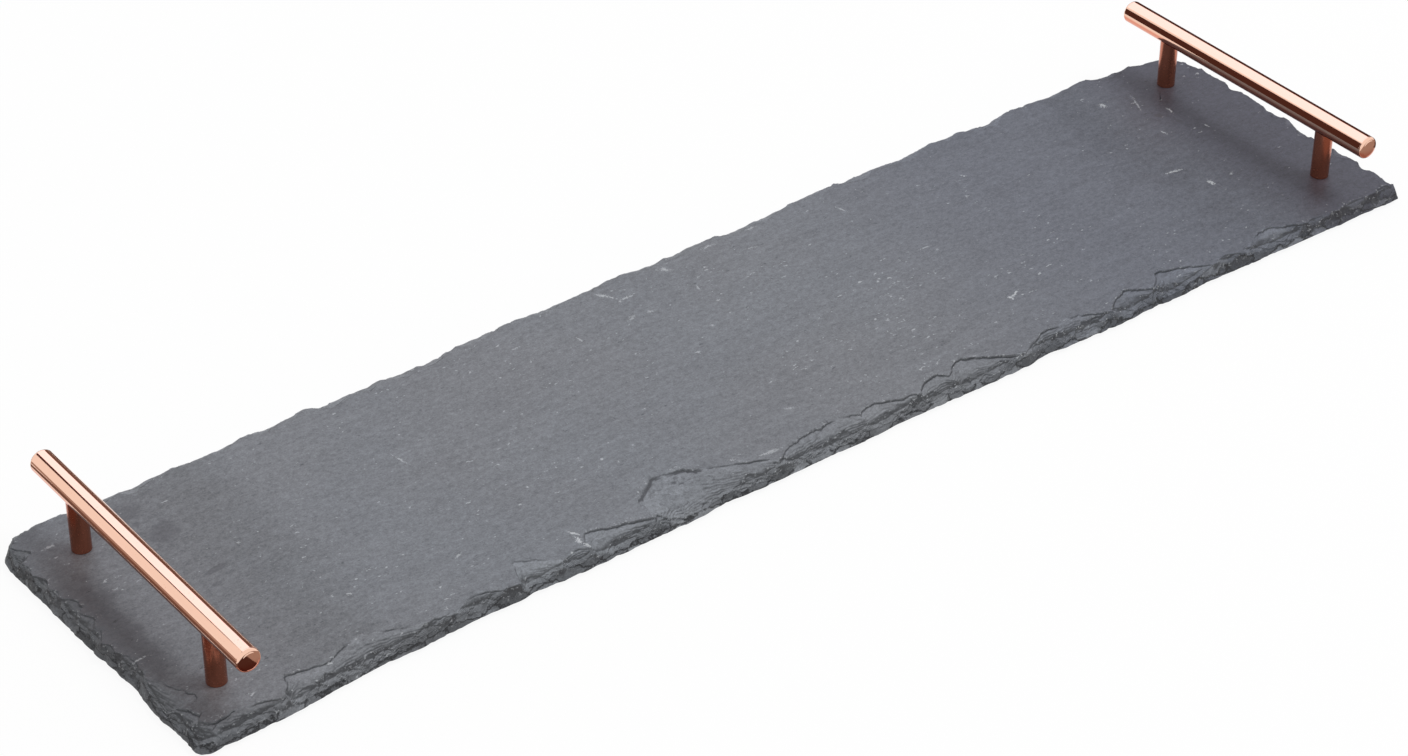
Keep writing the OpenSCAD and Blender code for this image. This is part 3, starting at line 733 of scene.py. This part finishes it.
def slateMaterial(f):
    material, wire, spot = newMaterial("rivenSlate")
    crevice, rim, broken, tone = (wire.attribute(name) for name in ("crevice", "rim", "broken", "tone"))
    along, _, up = spot.parts()
    onFace = up.between(0.007, 0.008)
    steep = broken * broken

    # The stone: blue and brown patches, colder towards the right with painted shade there and at both ends, with
    # grain, streaks and clouds
    color = spot.noise(9, 3, 0.55).between(0.35, 0.65).tint(f["blue"], f["brown"])
    # partly the stone's colder tone, partly painted shade darkening the right side
    color = along.between(*f["coldToneAndShadeFrom"]).tint(color, f["coldToneAndShade"])
    # painted shade: darker still at the right end
    color = along.between(*f["endShadeFrom"]).tint(color, f["end"])
    fine = spot.noise(1500, 3, 0.75)
    grit = spot.stretched(0.7).noise(640, 4, 0.7)
    streak = spot.stretched(0.12).noise(300, 4, 0.65)
    cloud = spot.stretched(0.5).noise(45, 4, 0.55)
    color = color.scaled(1 + (fine - 0.5) * 1.3 + (grit - 0.5) * 1.4 + (streak - 0.5) * 0.45 + (cloud - 0.5) * 0.26)
    # painted light and shade: flaked terraces lighter and the steep broken lip darker than the lamps leave them
    terraceLightAndLipShade = broken.between(0.1, 0.4) * 0.24 - broken.between(0.5, 0.95) * 0.2
    # painted shade: the left end darker, where the left bar's shadow falls
    leftEndShade = 0.72 + along.between(-0.303, -0.270) * 0.28
    color = color.scaled((1 + tone * 0.13 + terraceLightAndLipShade) * leftEndShade)

    # Broken stone: splinters that lie along the board, with dark seams between them
    bend = {0: spot.noise(330, 4, 0.65, out="Color"), 1: (0.007, 0.007, 0.003), 2: spot}
    bent = wire.node("ShaderNodeVectorMath", bend, operation="MULTIPLY_ADD")
    cells = {"Vector": bent.stretched(0.45, 0.6, 1.15), "Scale": 190.0}
    splinter = wire.node("ShaderNodeTexVoronoi", cells, "Color", feature="F1").parts()[0]
    seam = wire.node("ShaderNodeTexVoronoi", cells, "Distance", feature="DISTANCE_TO_EDGE")
    color = color.scaled(1 + (splinter - 0.5) * steep * 0.85)
    cracks = (1 - seam.between(0.015, 0.11)) * broken.between(0.45, 0.95) * 0.95
    # painted shade at the feet of steps, together with the dark seams of cracks
    color = strongest([cracks, crevice * 0.8]).tint(color, f["dark"])
    color = (splinter.between(0.8, 0.95) * broken * 0.1).tint(color, f["chalk"])

    # Marks of use and of the quarry, with painted shade among the smudges near the bars and painted highlight among
    # the rim flecks
    ragged = (spot.noise(900, 4, 0.85) - 0.45) * 5.0
    soft = (spot.noise(160, 4, 0.65) - 0.5) * 1.6
    scratched = strongest([stroke(spot, mark, ragged) for mark in f["scratches"]]) * onFace
    smudgedAndShaded = strongest([stroke(spot, mark, soft) for mark in f["smudgesAndShade"]]) * onFace
    # painted shade near the bars and along the left end, with a few real smudges
    color = smudgedAndShaded.tint(color, f["smudgeAndShade"])
    pits = spot.stretched(0.4).noise(480, 2, 0.6).between(0.70, 0.76) * 0.55
    color = pits.tint(color, f["dark"])
    dust = spot.stretched(0.6).noise(620, 2, 0.55) + (spot.noise(22, 3, 0.6) - 0.5) * 0.3
    # pale flecks along step rims: partly real chips, partly painted highlight where edges catch light
    rimFlecksAndGlints = rim * spot.noise(700, 3, 0.7).between(0.55, 0.66) * 0.6
    color = strongest([dust.between(0.70, 0.77) * 0.55, rimFlecksAndGlints, scratched]).tint(color, f["chalk"])

    normal = wire.bump(fine * 0.3 + grit * 0.5 + streak * 0.6, 0.09 * mm, 0.7)
    rocky = (spot.stretched(0.6, 0.8, 1.3).noise(480, 5, 0.7) + splinter * 0.5) * steep
    normal = wire.bump(rocky, mm, 0.9, normal)
    roughness = f["roughness"] + (cloud - 0.5) * 0.12 + (grit - 0.5) * 0.1 + broken * 0.1
    return closeMaterial(material, wire, {"Base Color": color, "Roughness": roughness, "Normal": normal})


slate = buildSlate(slateShape)
slate.data.materials.append(slateMaterial(slateFinish))
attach(slate, "root")
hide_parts("slate_board")


# Bends a grid of points, numbered by column and row, round Z and closes it
def roundZ(wire, rows, sides, place):
    grid = wire.node("GeometryNodeMeshGrid", {"Vertices X": sides + 1, "Vertices Y": rows})
    bent = wire.node("GeometryNodeSetPosition", {"Geometry": grid, "Position": place})
    return wire.node("GeometryNodeMergeByDistance", {"Geometry": bent, "Distance": 0.002 * mm})


def columnAndRow(wire, rows):
    index = wire.node("GeometryNodeInputIndex")
    kinds = ("DIVIDE_FLOOR", "MODULO")
    return [wire.node("FunctionNodeIntegerMath", {0: index, 1: rows}, operation=kind) for kind in kinds]


# A body turned about Z, from its outline as (radius, height), out along the lower side and back along the upper
# one. A third value of 1 makes a point follow the saddle of a round bar that lies along Y.
def turned(wire, outline, sides, saddle=None):
    column, row = columnAndRow(wire, len(outline))
    points = {1 + i: wire.vector(radius, *(flag or [0.0]), height)
              for i, (radius, height, *flag) in enumerate(outline)}
    point = wire.node("GeometryNodeIndexSwitch", {0: row, **points}, data_type="VECTOR", choices=len(outline))
    radius, flag, height = point.parts()
    angle = column * (2 * math.pi / sides)
    x, y = radius * angle.math("COSINE"), radius * angle.math("SINE")
    if saddle is not None:
        height = height + flag * (saddle - (saddle * saddle - x * x).math("SQRT"))
    return roundZ(wire, len(outline), sides, wire.vector(x, y, height))


# A rod with a helical thread from z 0 up to length, chamfered at both ends
def threaded(wire, length, radius, pitch, depth, rows, sides):
    column, row = columnAndRow(wire, rows)
    turn = column * (1 / sides)
    angle = turn * (2 * math.pi)
    height = ((row * 0.5 + turn - 1) * pitch).math("MAXIMUM", 0.0).math("MINIMUM", length)
    tooth = ((height.math("DIVIDE", pitch) - turn) * 2).math("PINGPONG", 1.0)
    tip = (radius - depth) * 0.9
    reach = (radius - tooth * depth).math("MINIMUM", tip + height).math("MINIMUM", tip + (length - height))
    ends = row.math("COMPARE", 0.0, 0.5) + row.math("COMPARE", rows - 1.0, 0.5)
    reach = reach * (1 - ends)
    return roundZ(wire, rows, sides, wire.vector(reach * angle.math("COSINE"), reach * angle.math("SINE"), height))


# A rounded stretch of an outline, from one angle to another in degrees
def rounded(radius, height, r, start, end, steps):
    turns = [math.radians(start + (end - start) * i / steps) for i in range(steps + 1)]
    return [(radius + r * math.cos(t), height + r * math.sin(t)) for t in turns]


def combined(wire, operation, values):
    return wire.node("GeometryNodeMeshBoolean", values, operation=operation, solver="EXACT")


# Sets a body on the two by two places that the spans give, or on two in a line
def onPlaces(wire, body, spanX, spanY, z, turnRear=False, rows=2):
    size = {"Size X": spanX, "Size Y": spanY, "Vertices X": 2, "Vertices Y": rows}
    spots = wire.node("GeometryNodeMeshGrid", size).moved("Translation", wire.vector(z=z))
    values = {"Points": spots, "Instance": body}
    if turnRear:
        y = wire.node("GeometryNodeInputPosition").parts()[1]
        values["Rotation"] = wire.vector(z=y.math("LESS_THAN", 0.0) * math.pi)
    return wire.node("GeometryNodeInstanceOnPoints", values)


# Runs a node tree with the given values as its named inputs, bakes it and rides the plain mesh on the board
def bakePiece(name, build, given, sharp, material, nodes):
    tree = bpy.data.node_groups.new(name, "GeometryNodeTree")
    wire = Wire(tree)
    kind = "NodeSocketFloat"
    keys = {label: tree.interface.new_socket(label, in_out="INPUT", socket_type=kind).identifier for label in given}
    tree.interface.new_socket("Geometry", in_out="OUTPUT", socket_type="NodeSocketGeometry")
    body = build(wire, **{label: wire.node("NodeGroupInput", out=label) for label in given})
    whole = wire.node("GeometryNodeRealizeInstances", {"Geometry": body})
    painted = wire.node("GeometryNodeSetMaterial", {"Geometry": whole, "Material": material})
    wire.node("NodeGroupOutput", {"Geometry": painted})
    piece = addObject(name, bpy.data.meshes.new(name))
    modifier = piece.modifiers.new(name, "NODES")
    modifier.node_group = tree
    for label, value in given.items():
        modifier[keys[label]] = value
    baked = bpy.data.meshes.new_from_object(piece.evaluated_get(bpy.context.evaluated_depsgraph_get()))
    piece.modifiers.clear()
    work = bmesh.new()
    work.from_mesh(baked)
    bmesh.ops.recalc_face_normals(work, faces=work.faces)
    work.to_mesh(baked)
    work.free()
    piece.data = baked
    baked.shade_smooth()
    baked.set_sharp_from_angle(angle=math.radians(sharp))
    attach(piece, "root")
    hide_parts(*nodes)
    print(name, "baked:", len(baked.vertices), "vertices")


def nodesOf(kind):
    return ["_".join(place + (kind,)) for place in places]


copperFinish = {
    "color": (0.915, 0.585, 0.445, 1),
    "underShadeAndSpecks": (0.75, 0.28, 0.18, 1),
    "underShadeFrom": (-0.2, 0.05),
    "roughness": 0.065,
}
postFinish = {
    **copperFinish,
    "color": (0.52, 0.185, 0.115, 1),
    "underShadeAndSpecks": (0.42, 0.14, 0.085, 1),
    "roughness": 0.24,
}


# Copper with painted shade: deeper in colour where it faces down, standing in for the dark slate it mirrors there
def copperMaterial(name, f):
    material, wire, spot = newMaterial(name)
    normal = wire.node("ShaderNodeNewGeometry", out="Normal")
    kinds = {"vector_type": "NORMAL", "convert_from": "WORLD", "convert_to": "OBJECT"}
    facing = wire.node("ShaderNodeVectorTransform", {0: normal}, **kinds)
    # painted shade on the downward faces; the same colour also serves for the specks
    color = facing.parts()[2].between(*f["underShadeFrom"]).tint(f["underShadeAndSpecks"], f["color"])
    specks = spot.noise(1500, 2, 0.6).between(0.66, 0.74)
    grain = spot.noise(420, 3, 0.6)
    color = (specks * 0.35).tint(color, f["underShadeAndSpecks"])
    roughness = f["roughness"] + (grain - 0.5) * 0.06 + specks * 0.15
    normal = wire.bump(grain, 0.01 * mm, 0.25)
    values = {"Base Color": color, "Metallic": 1.0, "Roughness": roughness, "Normal": normal}
    return closeMaterial(material, wire, values)


# Hidden metal and rubber: patches between two colours, and a fine grain that also moves the roughness
steelFinish = {
    "colors": ((0.42, 0.43, 0.46, 1), (0.62, 0.64, 0.67, 1)),
    "patches": (260, 3, 0.6),
    "patchesFrom": (0.3, 0.7),
    "grain": (2400, 2, 0.6),
    "roughness": 0.33,
    "swing": 0.2,
    "bump": (0.01 * mm, 0.3),
    "metallic": 1.0,
}
rubberFinish = {
    "colors": ((0.018, 0.018, 0.020, 1), (0.035, 0.035, 0.038, 1)),
    "patches": (120, 3, 0.6),
    "patchesFrom": (0.45, 0.75),
    "grain": (1800, 3, 0.6),
    "roughness": 0.72,
    "swing": 0.15,
    "bump": (0.03 * mm, 0.4),
    "metallic": 0.0,
}


def plainMaterial(name, f):
    material, wire, spot = newMaterial(name)
    grain = spot.noise(*f["grain"])
    return closeMaterial(material, wire, {
        "Base Color": spot.noise(*f["patches"]).between(*f["patchesFrom"]).tint(*f["colors"]),
        "Metallic": f["metallic"],
        "Roughness": f["roughness"] + (grain - 0.5) * f["swing"],
        "Normal": wire.bump(grain, *f["bump"]),
    })


copper = copperMaterial("polishedCopper", copperFinish)
postCopper = copperMaterial("satinCopper", postFinish)
steel = plainMaterial("zincSteel", steelFinish)
rubber = plainMaterial("padRubber", rubberFinish)
print("metals mixed")

# Bars: tubes of copper-plated steel, with holes underneath for the studs
lyingDown = (-math.pi / 2, 0, 0)
tubeLow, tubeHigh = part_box("right_grip_tube")
postLow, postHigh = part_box("right_rear_post")
barX, barZ = (tubeLow.x + tubeHigh.x) / 2, (tubeLow.z + tubeHigh.z) / 2
postSpans = {"spanX": postLow.x + postHigh.x, "spanY": postLow.y + postHigh.y}
tubeShape = {
    "radius": (tubeHigh.x - tubeLow.x) / 2,
    "wall": 1.2 * mm,
    "half": tubeHigh.y,
    "edge": 0.12 * mm,
    "studHole": 2.05 * mm,
    "holeReach": 3 * mm,
    "span": 2 * barX,
    "postSpan": postSpans["spanY"],
    "height": barZ,
}


def buildTubes(wire, radius, wall, half, edge, studHole, holeReach, span, postSpan, height):
    inner = radius - wall
    near, far = postSpan * 0.5 - holeReach, postSpan * 0.5 + holeReach
    outside = [(radius, near), (radius, far), (radius, half - edge), (radius - edge, half), (inner, half)]
    outline = [(r, -z) for r, z in outside[::-1]] + outside
    outline += [(inner, far), (inner, near), (inner, -near), (inner, -far), (inner, -half)]
    shell = turned(wire, outline, sides=96).moved("Rotation", lyingDown)
    drill = wire.node("GeometryNodeMeshCylinder", {"Vertices": 32, "Radius": studHole, "Depth": radius})
    drills = onPlaces(wire, drill, 0.0, postSpan, -radius)
    drills = wire.node("GeometryNodeRealizeInstances", {"Geometry": drills})
    drilled = combined(wire, "DIFFERENCE", {"Mesh 1": shell, "Mesh 2": drills})
    return onPlaces(wire, drilled, span, 0.0, height, rows=1)


bakePiece("gripTubes", buildTubes, tubeShape, 30, copper, ["left_grip_tube", "right_grip_tube"])

# End caps: a spigot in the tube, a crease, a rounded shoulder and a slightly domed face
capLow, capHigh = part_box("right_rear_cap")
capShape = {
    "radius": tubeShape["radius"],
    "bore": tubeShape["radius"] - tubeShape["wall"] - 0.05 * mm,
    "spigot": tubeHigh.y - capLow.y,
    "chamfer": 0.3 * mm,
    "head": capHigh.y - tubeHigh.y,
    "shoulder": 1.2 * mm,
    "dome": 0.34 * mm,
    "drop": 0.42 * mm,
    "crease": 0.2 * mm,
    "span": 2 * barX,
    "tubeLength": 2 * tubeHigh.y,
    "height": barZ,
}


def buildCaps(wire, radius, bore, spigot, chamfer, head, shoulder, dome, drop, crease, span, tubeLength, height):
    outline = [(0.0, -spigot), (bore - chamfer, -spigot), (bore, chamfer - spigot), (bore, 0.0)]
    outline += [(radius - crease, 0.0), (radius - crease, crease * 0.6)]
    outline += rounded(radius - shoulder, head - shoulder - drop, shoulder, -25, 90, 8)
    for share in (0.96, 0.85, 0.7, 0.55, 0.4, 0.25, 0.1):
        outline.append(((radius - shoulder) * share, head - dome * share * share))
    outline.append((0.0, head))
    cap = turned(wire, outline, sides=72).moved("Rotation", lyingDown)
    return onPlaces(wire, cap, span, tubeLength, height, turnRear=True)


bakePiece("endCaps", buildCaps, capShape, 32, copper, nodesOf("cap"))

# Posts: tapped at both ends, saddled to the bar at the top
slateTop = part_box("slate_board")[1].z
postShape = {
    "radius": (postHigh.y - postLow.y) / 2,
    "bore": 2.05 * mm,
    "saddle": tubeShape["radius"] + 0.05 * mm,
    "barHeight": barZ - slateTop,
    "screwDepth": 6.7 * mm,
    "studDepth": 6.3 * mm,
    "edge": 0.15 * mm,
    "saddleEdge": 0.08 * mm,
    "height": slateTop,
    **postSpans,
}


def buildPosts(wire, radius, bore, saddle, barHeight, screwDepth, studDepth, edge, saddleEdge, height, spanX, spanY):
    top = barHeight - saddle
    outline = [(0.0, screwDepth), (bore, screwDepth), (bore, 0.0), (radius - edge, 0.0), (radius, edge)]
    outline += [(radius, top - saddleEdge, 1.0), (radius - saddleEdge, top, 1.0), (bore, top, 1.0)]
    outline += [(bore, top - studDepth), (0.0, top - studDepth)]
    return onPlaces(wire, turned(wire, outline, sides=80, saddle=saddle), spanX, spanY, height)


bakePiece("posts", buildPosts, postShape, 30, postCopper, nodesOf("post"))

# Studs between posts and bars, and the screws from below, both with an M4 thread
studLow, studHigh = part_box("right_rear_stud")
threadShape = {"radius": 2 * mm, "pitch": 0.7 * mm, "depth": 0.38 * mm}
studShape = {"length": studHigh.z - studLow.z, "height": studLow.z, **threadShape, **postSpans}


def buildStuds(wire, length, height, spanX, spanY, **thread):
    return onPlaces(wire, threaded(wire, length, rows=34, sides=36, **thread), spanX, spanY, height)


bakePiece("studs", buildStuds, studShape, 40, steel, nodesOf("stud"))

# Pan heads with a cross recess
screwLow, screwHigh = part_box("right_rear_screw")
washerLow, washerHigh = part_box("right_rear_washer")
screwShape = {
    "length": screwHigh.z - washerLow.z,
    "headRadius": (screwHigh.x - screwLow.x) / 2,
    "headHeight": washerLow.z - screwLow.z,
    "edge": 0.1 * mm,
    "recess": 1.3 * mm,
    "recessLength": 4.2 * mm,
    "recessWidth": 0.8 * mm,
    "height": washerLow.z,
    **threadShape,
    **postSpans,
}


def buildScrews(wire, length, headRadius, headHeight, edge, recess, recessLength, recessWidth, height, spanX, spanY,
                **thread):
    outline = [(0.0, 0.0), (headRadius - edge, 0.0), (headRadius, -edge)]
    outline += rounded(headRadius - headHeight * 0.5, headHeight * -0.5, headHeight * 0.5, 0, -90, 8)
    outline += [(headRadius - headHeight * 0.62, -headHeight), (0.0, -headHeight)]
    slots = []
    for x, y in ((recessLength, recessWidth), (recessWidth, recessLength)):
        box = wire.node("GeometryNodeMeshCube", {"Size": wire.vector(x, y, recess * 2)})
        slots.append(box.moved("Translation", wire.vector(z=-headHeight)))
    cross = combined(wire, "UNION", {"Mesh 2": slots})
    head = combined(wire, "DIFFERENCE", {"Mesh 1": turned(wire, outline, sides=48), "Mesh 2": cross})
    rod = threaded(wire, length, rows=38, sides=36, **thread)
    whole = wire.node("GeometryNodeJoinGeometry", {"Geometry": [rod, head]})
    return onPlaces(wire, whole, spanX, spanY, height)


bakePiece("screws", buildScrews, screwShape, 34, steel, nodesOf("screw"))

washerShape = {
    "radius": (washerHigh.x - washerLow.x) / 2,
    "hole": 2.15 * mm,
    "thick": washerHigh.z - washerLow.z,
    "edge": 0.1 * mm,
    "height": washerLow.z,
    **postSpans,
}


def buildWashers(wire, radius, hole, thick, edge, height, spanX, spanY):
    outline = [(hole, 0.0), (radius - edge, 0.0), (radius, edge), (radius, thick - edge)]
    outline += [(radius - edge, thick), (hole, thick), (hole, 0.0)]
    return onPlaces(wire, turned(wire, outline, sides=56), spanX, spanY, height)


bakePiece("washers", buildWashers, washerShape, 40, steel, nodesOf("washer"))

# Rubber pads under the slate, with a shallow ring pressed into the face that stands on the table
padLow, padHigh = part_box("right_rear_foot")
padShape = {
    "radius": (padHigh.x - padLow.x) / 2,
    "thick": padHigh.z - padLow.z,
    "edge": 0.5 * mm,
    "topEdge": 0.1 * mm,
    "ring": 0.25 * mm,
    "spanX": padLow.x + padHigh.x,
    "spanY": padLow.y + padHigh.y,
}


def buildPads(wire, radius, thick, edge, topEdge, ring, spanX, spanY):
    outline = [(0.0, 0.0), (radius * 0.55, 0.0), (radius * 0.6, ring), (radius * 0.68, ring), (radius * 0.73, 0.0)]
    outline += rounded(radius - edge, edge, edge, -90, 0, 6)
    outline += [(radius, thick - topEdge), (radius - topEdge, thick), (0.0, thick)]
    return onPlaces(wire, turned(wire, outline, sides=64), spanX, spanY, 0.0)


bakePiece("footPads", buildPads, padShape, 35, rubber, nodesOf("foot"))
